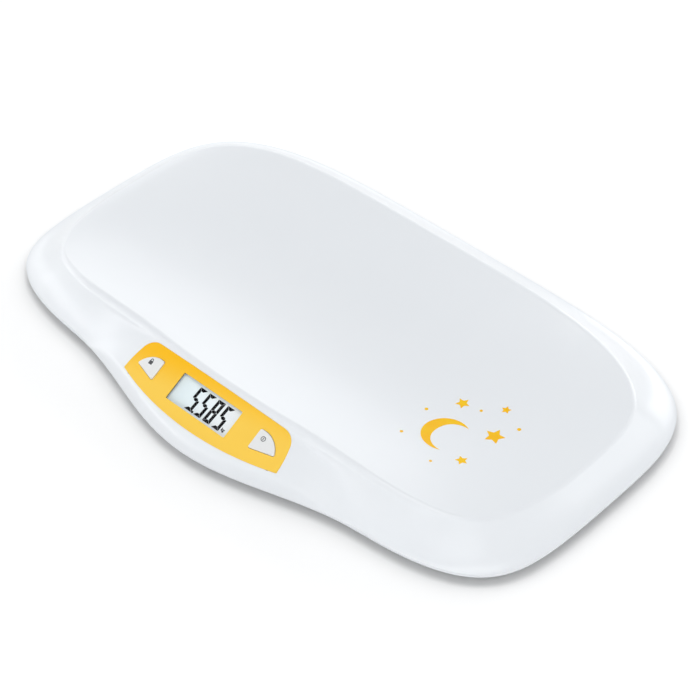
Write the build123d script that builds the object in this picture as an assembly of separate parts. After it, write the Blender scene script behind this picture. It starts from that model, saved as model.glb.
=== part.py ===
from build123d import *
import os
from math import sin, cos, tan, pi, sqrt, radians

# Digital baby scale: a one-piece moulded tray over a screwed-on base, with a tilted display
# panel in the front bulge and four load-cell feet. Millimetres. X runs along the tray, -Y is
# the side with the display, Z is up, and Z = 0 is the table that the rubber feet stand on.

# ---------------------------------------------------------------- outer form
LENGTH = 550.0              # over the flange, left to right
WIDTH = 335.0               # front of the display bulge to the back edge
RIM_TOP = 47.0              # highest line of the tray rim above the table
WALL = 2.5                  # moulded wall of the tray
EDGE_BOTTOM = 8.0           # lower edge of the tray's flange
EDGE_TOP = 10.5             # upper side of the flange at its outer edge
RIM_ROUND = 5.5             # rounding of the rim between hollow and flange
LIP_DRAFT = 0.3             # the lip below the flange draws in this far
LIP_STEP = 0.4              # height of the lip's inner side, above its lower edge

BULGE = 30.7                # how far the display bulge stands out in front
BULGE_HALF = 161.0          # half the length over which it runs out
BACK_DEPTH = 167.3          # table centre line to the back edge
EDGE_SQUARE_BACK = 4.15     # squareness of the outline, 2 is an ellipse
EDGE_SQUARE_FRONT = 4.75
EDGE_TAPER = 0.016          # narrowing of the outline towards the front

FLANGE_END = 25.5           # rim to outer edge, at the two ends
FLANGE_BACK = 41.3          # rim to outer edge, at the back
FLANGE_FRONT = 22.0         # rim to outer edge, beside the display bulge
RIM_SQUARE_BACK = 4.55
RIM_SQUARE_FRONT = 5.05
RIM_TAPER = 0.06
FLARE = 1.6                 # hollow sweep of the flange, 1 is a straight slope

DISH_FLOOR = 23.0           # lowest line of the tray hollow
DISH_END = 31.0             # height of the hollow where it runs out at the ends
DISH_MID_Y = 6.0            # the lowest line lies this far behind the centre
DISH_HALF = 121.0           # half the chord of the hollow at full height
ROLL_START = 236.0          # the hollow rolls over from here outwards
ROLL = 0.010                # strength of that roll

# ---------------------------------------------------------------- display panel
PANEL_TILT = 29.0           # degrees towards the user
PANEL_Y = -138.5            # panel centre
PANEL_TOP_Y = -121.0        # upper edge of the panel, in plan
PANEL_TOP_Z = 45.8          # and its height
PANEL_RADIUS = 571.0        # the panel bends down towards its ends
BULGE_FLAT = 90.0           # the bulge carries the panel's surface out to here
BULGE_BLEND = 150.0         # and has run into the flange here
NOSE = 24                   # how sharply the bulge turns down at its front

PANEL_HALF = 84.0
PANEL_TOP = 20.2            # upper edge above the panel centre, along the slope
PANEL_TIP = -10.8           # the pointed lower corners
PANEL_BOTTOM = -23.2        # lowest point of the bowed lower edge
PANEL_SHOULDER = 77.0       # where top edge and sides would meet
PANEL_SIDE = (82.4, 3.0)    # a point that each side bows out through
PANEL_CORNER = 13.0
PANEL_TIP_ROUND = 0.6
OVERLAY_THICK = 0.8
OVERLAY_GAP = 0.15          # round the overlay, in its recess
PANEL_BACKING = 2.6         # wall left behind the recess

WINDOW_W = 64.0
WINDOW_H = 24.2
WINDOW_SEAT = 2.5           # depth of the flat seat for the clear window
WINDOW_THICK = 1.0
WINDOW_LAP = 3.2            # the clear window laps the opening by this much
GLASS_THICK = 2.8
GLASS_GAP = 0.3             # air between the clear window and the display glass
PCB_DEPTH = 11.0            # circuit board's upper face, below the panel surface
PCB_THICK = 1.6
PCB_HALF = 72.0
PCB_TOP = 15.0
PCB_BOTTOM = -16.0

# ---------------------------------------------------------------- keys
KEY_INNER = 53.0            # panel centre to the key's straight inner side
KEY_OUTER = 74.8
KEY_TOP = 9.8
KEY_LOW = -7.3
KEY_TIP = -1.8
KEY_SHOULDER = (65.9, 8.1)  # the round shoulder passes through here
KEY_CORNER = 1.2
KEY_INSIDE_CORNER = 0.3
KEY_PROUD = 0.9             # cap above the overlay
KEY_ROUND = 0.4
KEY_GAP = 0.35              # round the cap
KEY_TRAVEL = 0.4
KEY_SEAT = 7.6              # depth of the stop that the key's flange meets
KEY_FLANGE = 1.0            # flange thickness, and its step all round
KEY_WALL = 1.2
GUIDE_WALL = 1.6            # collar round each key opening
SWITCH_SIZE = 6.0
PLUNGER_D = 3.2
RUN_GAP = 0.1               # plunger in its switch, radially

# ---------------------------------------------------------------- base and feet
BASE_BOTTOM = 4.0           # underside of the base above the table
BASE_FLOOR = 2.2            # thickness
BASE_INSET_TOP = 1.2        # base inside the flange's outer edge, where the two meet
BASE_INSET_LOW = 10.0       # and at its underside
BASE_RIM_INSET = 16.0       # locating rib inside the flange
BASE_RIM_TOP = 11.0
RIB_WALL = 1.6

FOOT_X = 190.0
FOOT_BACK_Y = 92.0
FOOT_FRONT_Y = -78.0
PAD_D = 28.0
PAD_THICK = 2.0
PAD_SUNK = 1.0              # how deep the pad sits in its cup
CUP_D = 33.6
CUP_GAP = 0.4               # cup in the hole of the base, radially
CUP_FLANGE_D = 38.0
CUP_FLANGE = 1.4
CUP_SEAT = 7.0              # height of the base's lip that carries the cup flange
CUP_WALL = 1.7
FOOT_BOSS_D = 7.0

CELL_SIZE = 36.0
CELL_THICK = 1.2
CELL_Z = 9.6                # underside of the load cell
CELL_GAP = 0.15             # load cell in its four corner posts
CELL_SLOT = 2.0
TONGUE_W = 13.0
POST_IN = 14.5              # the four posts reach from here
POST_OUT = 25.0             # to here, measured from the foot's centre
CLAMP_THICK = 1.6
CLAMP_WINDOW = 28.0
GAUGE = (12.0, 8.0, 1.4)    # potted strain gauge on the tongue

# ---------------------------------------------------------------- batteries
CELL_D = 10.5               # AAA cells
CELL_LEN = 43.7
NUB_D = 3.8
NUB_LEN = 0.8
CELL_PITCH = 10.9
BATTERY_Y = -35.0           # middle cell
BATTERY_Z = 11.6            # cell centre line
BAY_LEN = 54.0
BAY_SIDE_GAP = 0.3
BAY_ROOF_GAP = 0.5
BAY_WALL = 1.6
DOOR_MARGIN = 2.6           # door larger than the bay, all round
DOOR_THICK = 1.8
DOOR_GAP = 0.3
DOOR_LIP = 2.0              # base left under the hinge tabs
TAB_W = 7.0
TAB_X = 16.0
TAB_REACH = 2.2
TAB_THICK = 1.2
TAB_GAP = 0.4               # beside each hinge tab
TAB_SLOT_TOP = 9.2
LATCH_W = 12.0

# ---------------------------------------------------------------- fasteners
CASE_SCREWS = [(236, 8), (115, 106), (115, -97), (70, 8)]   # right half, mirrored
CASE_SHANK_D = 3.0
CASE_HEAD_D = 6.0
CASE_HEAD_H = 2.0
CASE_LENGTH = 9.0
CASE_SEAT = 8.0             # height of the shoulder the heads pull against
CASE_JOINT = 10.0           # tray bosses meet the base bosses here
CASE_BOSS_D = 8.0
BASE_BOSS_D = 10.5
SMALL_SHANK_D = 2.0
SMALL_HEAD_D = 4.0
SMALL_HEAD_H = 1.3
SMALL_LENGTH = 6.0
SMALL_BOSS_D = 6.0
PCB_SCREWS = [(44, 11), (44, -12)]
SCREW_GAP = 0.05            # shank in its pilot hole, radially
HOLE_GAP = 0.25             # shank in a clearance hole, radially

# ---------------------------------------------------------------- leads
LEAD_D = 1.6
LEAD_GAP = 0.1              # leads lie this far off what they rest on
CELL_LANE_FRONT = 62.0      # the front feet's leads run to the board this far from the middle
CELL_LANE_BACK = 56.0
BATTERY_LANE = 33.0
LEAD_ENTRY = 11.0           # up the board's slope, where the leads are soldered
LEAD_STRAIGHT = 5.0         # straight end before the board
LEAD_BEND = 5.0
LEAD_SHORT_BEND = 2.0
TAB_LENGTH = 3.0            # solder tabs outside the battery bay

# ---------------------------------------------------------------- worked out
FRONT_DEPTH = WIDTH - BACK_DEPTH - BULGE
TILT_SIN, TILT_COS = sin(radians(PANEL_TILT)), cos(radians(PANEL_TILT))
PANEL_Z = PANEL_TOP_Z + tan(radians(PANEL_TILT)) * (PANEL_Y - PANEL_TOP_Y)
PANEL = Plane(origin=(0, PANEL_Y, PANEL_Z), x_dir=(1, 0, 0), z_dir=(0, -TILT_SIN, TILT_COS))
FLOOR_TOP = BASE_BOTTOM + BASE_FLOOR
CELL_TOP = CELL_Z + CELL_THICK
LEAD_Z = FLOOR_TOP + LEAD_GAP + LEAD_D / 2
BAY_WIDTH = 2 * CELL_PITCH + CELL_D + 2 * BAY_SIDE_GAP
BAY_ROOF = BATTERY_Z + CELL_D / 2 + BAY_ROOF_GAP
FEET = [("front_left", -FOOT_X, FOOT_FRONT_Y), ("front_right", FOOT_X, FOOT_FRONT_Y),
        ("back_left", -FOOT_X, FOOT_BACK_Y), ("back_right", FOOT_X, FOOT_BACK_Y)]
RING_POINTS = 64            # points in each ring that the flange's surface runs through
FLANGE_RINGS = (1, 0.985, 0.965, 0.93, 0.88, 0.8, 0.7, 0.58, 0.45, 0.32, 0.2, 0.1, 0)
PAST_RIM = 0.12             # the surface is carried on inwards by this share of the flange
RIM_BLEND = 0.12            # share of the flange over which the bulge meets the rim
DISH_PAST = 14.5            # the hollow's surface is made this far past the rim
HILL_TOP = RIM_TOP + 19     # the body that the hollow is cut from is this high
FAR = 60.0                  # long enough to pass right through the scale


def ease(start, end, value):
    """0 before start, 1 after end, and a smooth step between them."""
    share = min(max((value - start) / (end - start), 0.0), 1.0)
    return share * share * (3 - 2 * share)


def outline_point(turn, half, back, front, square_back, square_front, taper, bulge):
    """A point of a rounded-rectangle outline; turn runs clockwise from the back's middle."""
    across, along = sin(turn), cos(turn)
    square = square_back if along > 0 else square_front
    reach = (abs(across) ** square + abs(along) ** square) ** (-1 / square)
    x = half * reach * across
    y = (back if along > 0 else front) * reach * along
    if y < 0:
        x *= 1 - taper * ease(0, front, -y)
        y *= 1 + bulge / front * 0.5 * (1 + cos(pi * min(abs(x) / BULGE_HALF, 1)))
    return x, y


def edge_point(turn):
    """The flange's outer edge."""
    return outline_point(turn, LENGTH / 2, BACK_DEPTH, FRONT_DEPTH,
                         EDGE_SQUARE_BACK, EDGE_SQUARE_FRONT, EDGE_TAPER, BULGE)


def rim_point(turn):
    """The tray's rim, seen from above."""
    return outline_point(turn, LENGTH / 2 - FLANGE_END, BACK_DEPTH - FLANGE_BACK,
                         FRONT_DEPTH - FLANGE_FRONT, RIM_SQUARE_BACK, RIM_SQUARE_FRONT,
                         RIM_TAPER, 0.0)


def dish_height(x, y):
    """The tray hollow: a trough along X whose sides run down towards its ends."""
    share = abs(x) / (LENGTH / 2 - FLANGE_END)
    floor = DISH_FLOOR + (DISH_END - DISH_FLOOR) * share ** 2.5
    side = max(RIM_TOP - (RIM_TOP - DISH_END) * share ** 5, floor)
    roll = ROLL * max(0.0, abs(x) - ROLL_START) ** 2
    return floor + (side - floor) * ((y - DISH_MID_Y) / DISH_HALF) ** 2 - roll


def panel_height(x, y):
    """The panel's bent surface, carried on past the panel's own edge."""
    sag = sqrt(PANEL_RADIUS ** 2 - min(abs(x), PANEL_RADIUS / 2) ** 2) - PANEL_RADIUS
    slope = (y - PANEL_Y + sag * TILT_SIN) / TILT_COS
    return PANEL_Z + slope * TILT_SIN + sag * TILT_COS


def soft_min(a, b, blend=1.0):
    return (a + b - sqrt((a - b) ** 2 + blend ** 2)) / 2


def flange_point(turn, share):
    """The flange between the rim (share 0) and its outer edge (share 1)."""
    (edge_x, edge_y), (rim_x, rim_y) = edge_point(turn), rim_point(turn)
    x = rim_x + (edge_x - rim_x) * share
    y = rim_y + (edge_y - rim_y) * share
    rim_z = dish_height(rim_x, rim_y)
    z = EDGE_TOP + (rim_z - EDGE_TOP) * max(1 - share, 0) ** FLARE
    if rim_y < 0:
        bulge = soft_min(panel_height(x, y), rim_z)
        short = rim_z - soft_min(panel_height(rim_x, rim_y), rim_z)
        bulge += short * max(0.0, 1 - max(share, 0.0) / RIM_BLEND) ** 2
        bulge = EDGE_TOP + (bulge - EDGE_TOP) * (1 - max(share, 0.0) ** NOSE)
        z += (bulge - z) * (1 - ease(BULGE_FLAT, BULGE_BLEND, abs(x)))
    return Vector(x, y, z)


def edge_inset(turn, inset, z):
    """The outer edge's outline, moved inwards."""
    step = 0.001
    (x0, y0), (x1, y1) = edge_point(turn - step), edge_point(turn + step)
    inwards = Vector(y0 - y1, x1 - x0).normalized()
    x, y = edge_point(turn)
    if inwards.X * x + inwards.Y * y > 0:
        inwards = -inwards
    return Vector(x, y, z) + inwards * inset


def flange_inside(turn, share):
    """The flange's inner face: the same surface, one wall further in and lower."""
    return flange_point(turn, share) + edge_inset(turn, WALL, LIP_STEP - WALL) - edge_inset(turn, 0, 0)


def raised(point, z):
    return Vector(point.X, point.Y, z)


def ring(point_at):
    """A closed smooth curve through points taken all round, with even knots."""
    turns = [2 * pi * i / RING_POINTS for i in range(RING_POINTS + 1)]
    points = [point_at(turn) for turn in turns[:-1]]
    return Wire([Edge.make_spline(points, periodic=True, parameters=turns)])


def inset_ring(inset, z):
    return ring(lambda turn: edge_inset(turn, inset, z))


def above_dish(depth):
    """Everything above the tray hollow, or above a surface that lies depth below it."""
    half_x = LENGTH / 2 - FLANGE_END + DISH_PAST
    xs = [half_x * s for s in (0, 0.15, 0.28, 0.42, 0.55, 0.66, 0.76, 0.835, 0.895, 0.947, 1)]
    xs = [-x for x in reversed(xs[1:])] + xs
    shares = (0, 0.23, 0.46, 0.7, 0.95, 1.2)
    ys = [DISH_MID_Y + DISH_HALF * s for s in shares]
    ys = [2 * DISH_MID_Y - y for y in reversed(ys[1:])] + ys
    step = 0.01
    rows = []
    for x in xs:
        row = []
        for y in ys:
            slope_x = (dish_height(x + step, y) - dish_height(x - step, y)) / (2 * step)
            slope_y = (dish_height(x, y + step) - dish_height(x, y - step)) / (2 * step)
            normal = Vector(-slope_x, -slope_y, 1).normalized()
            row.append(Vector(x, y, dish_height(x, y)) - normal * depth)
        rows.append(row)
    face = Face.make_surface_from_array_of_points(rows, tol=0.005, min_deg=3, max_deg=5)
    return Solid.extrude(face, Vector(0, 0, FAR))


# ---------------------------------------------------------------- small helpers
def box(x0, x1, y0, y1, z0, z1):
    return Pos((x0 + x1) / 2, (y0 + y1) / 2, (z0 + z1) / 2) * Box(x1 - x0, y1 - y0, z1 - z0)


def rod(x, y, z0, z1, diameter):
    return Pos(x, y, (z0 + z1) / 2) * Cylinder(diameter / 2, z1 - z0)


def panel_box(u0, u1, v0, v1, w0, w1):
    """A box in the panel's own directions: u along it, v up its slope, w out of it."""
    return PANEL * box(u0, u1, v0, v1, w0, w1)


def panel_rod(u, v, w0, w1, diameter):
    return PANEL * rod(u, v, w0, w1, diameter)


def panel_prism(sketch, w0, w1):
    return PANEL * Pos(0, 0, w0) * extrude(sketch, w1 - w0)


def below_bend(depth):
    """Everything below the panel's bent surface, lowered by depth."""
    return PANEL * Pos(0, 0, -PANEL_RADIUS) * Rot(90, 0, 0) * Cylinder(PANEL_RADIUS - depth, 4 * FAR)


def mirrored(points):
    return [(x, y) for x, y in points] + [(-x, y) for x, y in points]


def screw(x, y, seat, shank_d, length, head_d, head_h):
    """A pan-head screw with a cross recess, its shank pointing up from the seat."""
    body = rod(x, y, seat, seat + length, shank_d) + rod(x, y, seat - head_h, seat, head_d)
    body = chamfer(body.edges().filter_by(GeomType.CIRCLE).sort_by(Axis.Z)[0], head_h * 0.35)
    slot = head_d * 0.22
    arm = Box(head_d * 0.6, slot, head_h * 0.6)
    for turn in (0, 90):
        body -= Pos(x, y, seat - head_h * 0.7) * Rot(0, 0, turn) * arm
    return body


# ---------------------------------------------------------------- panel outlines
def panel_outline(grow=0.0):
    """Straight top edge, round shoulders, pointed lower corners and a bowed lower edge."""
    top = Line((-PANEL_SHOULDER, PANEL_TOP), (PANEL_SHOULDER, PANEL_TOP))
    side = ThreePointArc((PANEL_SHOULDER, PANEL_TOP), PANEL_SIDE, (PANEL_HALF, PANEL_TIP))
    bottom = ThreePointArc((PANEL_HALF, PANEL_TIP), (0, PANEL_BOTTOM), (-PANEL_HALF, PANEL_TIP))
    shape = make_face([top, side, bottom, mirror(side, Plane.YZ)])
    if grow:
        shape = offset(shape, grow, kind=Kind.INTERSECTION)
    corners = shape.vertices().sort_by(Axis.Y)
    shape = fillet(corners[-2:], PANEL_CORNER + grow)
    for end in (0, -1):
        tip = shape.vertices().sort_by(Axis.X)[end]
        shape = fillet(tip, PANEL_TIP_ROUND + grow)
    return shape


def key_outline(side, grow=0.0):
    """A key's outline: straight inner side, straight lower side, round outer shoulder."""
    shoulder = ThreePointArc((KEY_INNER, KEY_TOP), KEY_SHOULDER, (KEY_OUTER, KEY_TIP))
    sides = Polyline((KEY_OUTER, KEY_TIP), (KEY_INNER, KEY_LOW), (KEY_INNER, KEY_TOP))
    shape = make_face([shoulder, sides])
    if grow:
        shape = offset(shape, grow, kind=Kind.INTERSECTION)
    shape = fillet(shape.vertices(), max(KEY_CORNER + grow, KEY_INSIDE_CORNER))
    return shape if side > 0 else mirror(shape, Plane.YZ)


def window_outline(grow=0.0):
    return RectangleRounded(WINDOW_W + 2 * grow, WINDOW_H + 2 * grow, 1.0 + max(grow, 0) * 0.3)


# ---------------------------------------------------------------- tray
def tray_inside_features():
    """Ribs, bosses and seats that stand in the tray's hollow underside."""
    parts = []
    for x, y in mirrored(CASE_SCREWS):
        parts.append(rod(x, y, CASE_JOINT, FAR, CASE_BOSS_D))
    for u, v in mirrored(PCB_SCREWS):
        parts.append(panel_rod(u, v, -PCB_DEPTH, 0, SMALL_BOSS_D))
    for side in (-1, 1):
        parts.append(panel_prism(key_outline(side, KEY_GAP + GUIDE_WALL), -KEY_SEAT, 0))
    backing = panel_prism(panel_outline(), -PANEL_BACKING * 4, 0)
    parts.append(backing - below_bend(OVERLAY_THICK + PANEL_BACKING))
    for x in (-145, -92, 92, 145):
        parts.append(box(x - RIB_WALL / 2, x + RIB_WALL / 2, -96, 104, 18, FAR))
    for y in (-52, 64):
        parts.append(box(-145, 145, y - RIB_WALL / 2, y + RIB_WALL / 2, 20, FAR))
    return parts


def panel_cuts():
    """The panel's recess, the window and the key openings."""
    cuts = [panel_prism(panel_outline(OVERLAY_GAP), -FAR / 2, FAR / 2) - below_bend(OVERLAY_THICK),
            panel_prism(window_outline(), -FAR / 3, FAR / 3),
            panel_prism(window_outline(WINDOW_LAP + OVERLAY_GAP), -FAR / 3, -WINDOW_SEAT)]
    for side in (-1, 1):
        cuts.append(panel_prism(key_outline(side, KEY_GAP), -FAR / 3, FAR / 3))
        cuts.append(panel_prism(key_outline(side, KEY_FLANGE + 2 * KEY_GAP), -PCB_DEPTH, -KEY_SEAT))
    return cuts


def pilot_holes():
    """The holes that the board's and the case's screws bite into."""
    holes = []
    pilot_top = SMALL_LENGTH - PCB_THICK - PCB_DEPTH + 0.6
    for u, v in mirrored(PCB_SCREWS):
        holes.append(panel_rod(u, v, -PCB_DEPTH - 1, pilot_top, SMALL_SHANK_D + 2 * SCREW_GAP))
    pilot_top = CASE_SEAT + CASE_LENGTH + 1
    for x, y in mirrored(CASE_SCREWS):
        holes.append(rod(x, y, CASE_JOINT - 1, pilot_top, CASE_SHANK_D + 2 * SCREW_GAP))
    return holes


def flange_body(surface, inset, draft, bottom):
    """A solid hill whose sides are the flange's surface, on a low upright foot. Above the
    rim its sides stand upright."""
    rings = []
    for share in (*FLANGE_RINGS, -PAST_RIM):
        rings.append(ring(lambda turn, share=share: surface(turn, share)))
    foot_ring = inset_ring(inset + draft, bottom)
    top_ring = ring(lambda turn: raised(surface(turn, -PAST_RIM), HILL_TOP))
    sides = (Shell.make_loft([foot_ring, rings[0]], True).faces() + Shell.make_loft(rings).faces()
             + Shell.make_loft([rings[-1], top_ring], True).faces())
    return Solid(Shell([Face(foot_ring), *sides, Face(top_ring)]))


def make_tray():
    outside = flange_body(flange_point, 0, LIP_DRAFT, EDGE_BOTTOM) - above_dish(0)
    outside = outside - panel_cuts()
    rim = outside.edges().filter_by(lambda edge: edge.bounding_box().min.Z > DISH_FLOOR)
    rim = [edge for edge in rim if edge.length > LENGTH]
    outside = fillet(rim, RIM_ROUND) - pilot_holes()

    inside = flange_body(flange_inside, WALL, 0, 0) - above_dish(WALL)
    inside = inside - tray_inside_features()

    return outside - inside


# ---------------------------------------------------------------- panel pieces
def make_overlay():
    skin = below_bend(0) - below_bend(OVERLAY_THICK)
    sheet = panel_prism(panel_outline(), -FAR / 2, FAR / 2) & skin
    sheet -= panel_prism(window_outline(), -FAR / 3, FAR / 3)
    for side in (-1, 1):
        sheet -= panel_prism(key_outline(side, KEY_GAP), -FAR / 3, FAR / 3)
    return sheet


def make_window():
    return panel_prism(window_outline(WINDOW_LAP), -WINDOW_SEAT - WINDOW_THICK, -WINDOW_SEAT)


GLASS_TOP = -WINDOW_SEAT - WINDOW_THICK - GLASS_GAP
GLASS_W = WINDOW_W + 5.0
GLASS_H = WINDOW_H + 5.0
FRAME_WALL = 2.6
FRAME_LEDGE = 2.0
FRAME_GAP = 0.2
FRAME_TOP = GLASS_TOP - 1.6


def make_glass():
    return panel_box(-GLASS_W / 2, GLASS_W / 2, -GLASS_H / 2, GLASS_H / 2,
                     GLASS_TOP - GLASS_THICK, GLASS_TOP)


def make_display_frame():
    half_u, half_v = GLASS_W / 2 + FRAME_GAP, GLASS_H / 2 + FRAME_GAP
    ledge = GLASS_TOP - GLASS_THICK
    outer = RectangleRounded(2 * (half_u + FRAME_WALL), 2 * (half_v + FRAME_WALL), 2.5)
    frame = panel_prism(outer, -PCB_DEPTH, FRAME_TOP)
    frame -= panel_box(-half_u, half_u, -half_v, half_v, ledge, 0)
    return frame - panel_box(FRAME_LEDGE - half_u, half_u - FRAME_LEDGE, FRAME_LEDGE - half_v,
                             half_v - FRAME_LEDGE, -PCB_DEPTH, ledge)


ZEBRA_V = FRAME_LEDGE - GLASS_H / 2 - FRAME_GAP + 0.1


def make_zebra():
    """The rubber contact strip between the display glass and the board."""
    return panel_box(4 - GLASS_W / 2, GLASS_W / 2 - 4, ZEBRA_V, ZEBRA_V + 2.4,
                     -PCB_DEPTH, GLASS_TOP - GLASS_THICK)


def make_board():
    middle = (PCB_TOP + PCB_BOTTOM) / 2
    outline = Pos(0, middle) * RectangleRounded(2 * PCB_HALF, PCB_TOP - PCB_BOTTOM, 5.0)
    board = panel_prism(outline, -PCB_DEPTH - PCB_THICK, -PCB_DEPTH)
    for u, v in mirrored(PCB_SCREWS):
        board -= panel_rod(u, v, -FAR, 0, SMALL_SHANK_D + 2 * HOLE_GAP)
    return board


def make_chip():
    """The controller under its round cap of black resin, on the board's underside."""
    cap = Sphere(13.0) & Pos(0, 0, -19.0) * Box(40, 40, 15.0)
    return PANEL * Pos(10, 0, -PCB_DEPTH - PCB_THICK + 11.5) * cap


def key_centre(side):
    return side * (KEY_INNER + 8.6), 0.8


def make_key(side):
    cap = panel_prism(key_outline(side), -KEY_SEAT, KEY_PROUD) & below_bend(-KEY_PROUD)
    top = [edge for edge in cap.edges() if PANEL.to_local_coords(edge).center().Z > KEY_SEAT / -2]
    top = [edge for edge in top if abs(edge.tangent_at(0.5).dot(PANEL.z_dir)) < 0.7]
    cap = fillet(top, KEY_ROUND)
    flange = panel_prism(key_outline(side, KEY_FLANGE), -KEY_SEAT - KEY_FLANGE, -KEY_SEAT)
    hollow = panel_prism(key_outline(side, -KEY_WALL), -KEY_SEAT - KEY_FLANGE, -KEY_SEAT + 1.4)
    u, v = key_centre(side)
    return cap + flange - hollow + panel_rod(u, v, -KEY_SEAT - KEY_FLANGE, -KEY_SEAT + 2.0, 4.4)


def make_switch(side):
    u, v = key_centre(side)
    half = SWITCH_SIZE / 2
    top = -KEY_SEAT - KEY_FLANGE - KEY_TRAVEL
    body = panel_box(u - half, u + half, v - half, v + half, -PCB_DEPTH, top)
    return body - panel_rod(u, v, -PCB_DEPTH + 0.3, 0, PLUNGER_D + 2 * RUN_GAP)


def make_plunger(side):
    u, v = key_centre(side)
    low = -PCB_DEPTH + 0.3 + KEY_TRAVEL + RUN_GAP
    return panel_rod(u, v, low, -KEY_SEAT - KEY_FLANGE, PLUNGER_D)


def small_screw():
    return screw(0, 0, 0, SMALL_SHANK_D, SMALL_LENGTH, SMALL_HEAD_D, SMALL_HEAD_H)


def make_board_screws():
    screws = []
    for u, v in mirrored(PCB_SCREWS):
        screws.append(PANEL * Pos(u, v, -PCB_DEPTH - PCB_THICK) * small_screw())
    return screws


# ---------------------------------------------------------------- base
DOOR_X = BAY_LEN / 2 + DOOR_MARGIN
DOOR_Y = BAY_WIDTH / 2 + DOOR_MARGIN
DOOR_TOP = BASE_BOTTOM + DOOR_THICK
HINGE_Y = BATTERY_Y + DOOR_Y + DOOR_GAP
LEDGE_TOP = BASE_BOTTOM + DOOR_LIP
TAB_Z = LEDGE_TOP + 0.1


def bay_box(grow, z0, z1):
    return box(-BAY_LEN / 2 - grow, BAY_LEN / 2 + grow, BATTERY_Y - BAY_WIDTH / 2 - grow,
               BATTERY_Y + BAY_WIDTH / 2 + grow, z0, z1)


def foot_posts(x, y):
    """Four corner posts that carry a load cell and box it in."""
    posts = []
    for side_x in (-1, 1):
        for side_y in (-1, 1):
            ends_x = sorted((x + side_x * POST_IN, x + side_x * POST_OUT))
            ends_y = sorted((y + side_y * POST_IN, y + side_y * POST_OUT))
            posts.append(box(*ends_x, *ends_y, BASE_BOTTOM + 1, CELL_TOP))
    return posts


CLAMP_SCREW = POST_OUT - 3.2


def clamp_screw_places(x, y):
    return [(x + CLAMP_SCREW, y + CLAMP_SCREW), (x - CLAMP_SCREW, y - CLAMP_SCREW)]


def make_base():
    sides = [inset_ring(BASE_INSET_LOW, BASE_BOTTOM), inset_ring(5.6, BASE_BOTTOM + 0.8),
             inset_ring(2.4, BASE_BOTTOM + 2.2), inset_ring(BASE_INSET_TOP, EDGE_BOTTOM)]
    hollow = [inset_ring(BASE_INSET_LOW + 1.5, FLOOR_TOP), inset_ring(4.6, EDGE_BOTTOM)]
    base = Solid.make_loft(sides, True) - Solid.make_loft(hollow, True)
    rib = []
    for inset, z0, z1 in ((BASE_RIM_INSET, BASE_BOTTOM + 1, BASE_RIM_TOP),
                          (BASE_RIM_INSET + RIB_WALL, 0, FAR)):
        rib.append(Solid.make_loft([inset_ring(inset, z0), inset_ring(inset, z1)], True))
    base += rib[0] - rib[1]

    for x, y in mirrored(CASE_SCREWS):
        base += rod(x, y, BASE_BOTTOM + 1, CASE_JOINT, BASE_BOSS_D)
    for name, x, y in FEET:
        base += [rod(x, y, BASE_BOTTOM + 1, CUP_SEAT, CUP_FLANGE_D + 2)] + foot_posts(x, y)
    base += bay_box(BAY_WALL, BASE_BOTTOM + 1, BAY_ROOF + BAY_WALL)
    base += bay_box(DOOR_MARGIN + DOOR_GAP + 4, BASE_BOTTOM + 1, DOOR_TOP + 2.0)

    for x, y in mirrored(CASE_SCREWS):
        base -= rod(x, y, 0, CASE_SEAT, CASE_HEAD_D + 1.0)
        base -= rod(x, y, 0, FAR, CASE_SHANK_D + 2 * HOLE_GAP)
    for name, x, y in FEET:
        base -= rod(x, y, 0, CUP_SEAT, CUP_D + 2 * CUP_GAP)
        base -= rod(x, y, CUP_SEAT, FAR, CUP_FLANGE_D + 2 * CUP_GAP)
        half = CELL_SIZE / 2 + CELL_GAP
        base -= box(x - half, x + half, y - half, y + half, CELL_Z, FAR)
        pilot = CELL_TOP + CLAMP_THICK - SMALL_LENGTH - 0.5
        for sx, sy in clamp_screw_places(x, y):
            base -= rod(sx, sy, pilot, FAR, SMALL_SHANK_D + 2 * SCREW_GAP)
    base -= bay_box(0, 0, BAY_ROOF)
    for side, y in ((-1, battery_rows()[2][0]), (1, battery_rows()[0][0])):
        x0, x1 = sorted((side * (BAY_LEN / 2 - 0.5), side * (BAY_LEN / 2 + BAY_WALL + 0.5)))
        base -= box(x0, x1, y - 1.8, y + 1.8, TAB_LEVEL - 0.5, TAB_LEVEL + 0.5)
    base -= bay_box(DOOR_MARGIN + DOOR_GAP, 0, DOOR_TOP + 0.1)
    for side in (-1, 1):
        x0 = side * TAB_X - TAB_W / 2 - TAB_GAP
        x1 = side * TAB_X + TAB_W / 2 + TAB_GAP
        base -= box(x0, x1, BATTERY_Y, HINGE_Y + TAB_REACH + 1.0, LEDGE_TOP, TAB_SLOT_TOP)
        base -= box(x0, x1, BATTERY_Y, HINGE_Y, BASE_BOTTOM, LEDGE_TOP)
    base -= box(-LATCH_W / 2 - 0.5, LATCH_W / 2 + 0.5, BATTERY_Y - DOOR_Y - 1.6, BATTERY_Y,
                DOOR_TOP, 11.5)
    base -= Pos(0, BATTERY_Y - DOOR_Y - 3.0, BASE_BOTTOM) * Rot(0, 90, 0) * Cylinder(2.6, LATCH_W)
    return base


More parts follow.
